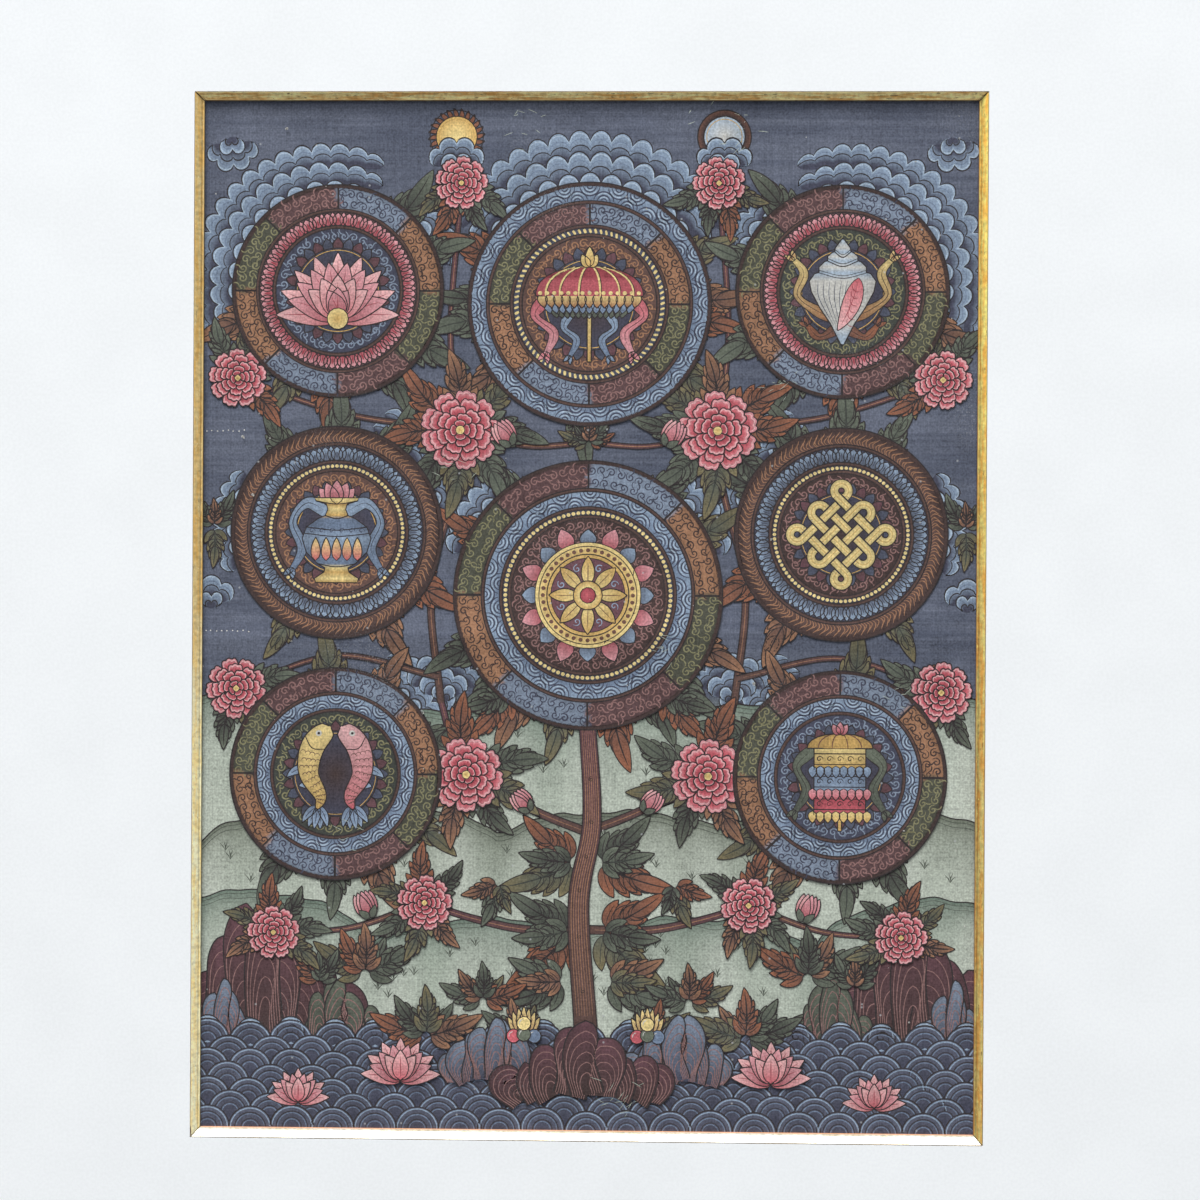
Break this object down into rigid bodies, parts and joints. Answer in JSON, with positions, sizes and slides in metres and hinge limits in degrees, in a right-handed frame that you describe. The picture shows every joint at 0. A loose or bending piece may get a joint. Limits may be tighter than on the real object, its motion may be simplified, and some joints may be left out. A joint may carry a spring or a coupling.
{
  "type": "thangka painting in window mount",
  "caption": "Painted cotton thangka laid flat on a backing board behind a pale window mat, with mitred gilt slips round the opening.",
  "frame": {"origin": "middle of the backing board's underside, which rests on the surface", "axes": "+X towards the picture's right, +Y towards its top, +Z out of its face"},
  "size_m": [0.5, 0.6, 0.0076],
  "materials": {
    "painted_cotton": "matt mineral paint on fine plain-weave cotton",
    "gilt_wood": "gilded wood, streaky and a little worn",
    "mat_board": "pale matt mount board with a fine paper grain",
    "backing_board": "plain matt grey board"
  },
  "bodies": {
    "root": {"backing_board": "backing_board", "thangka_cloth": "painted_cotton", "slip_top": "gilt_wood", "slip_bottom": "gilt_wood", "slip_left": "gilt_wood", "slip_right": "gilt_wood", "window_mat": "mat_board"}
  },
  "joints": []
}
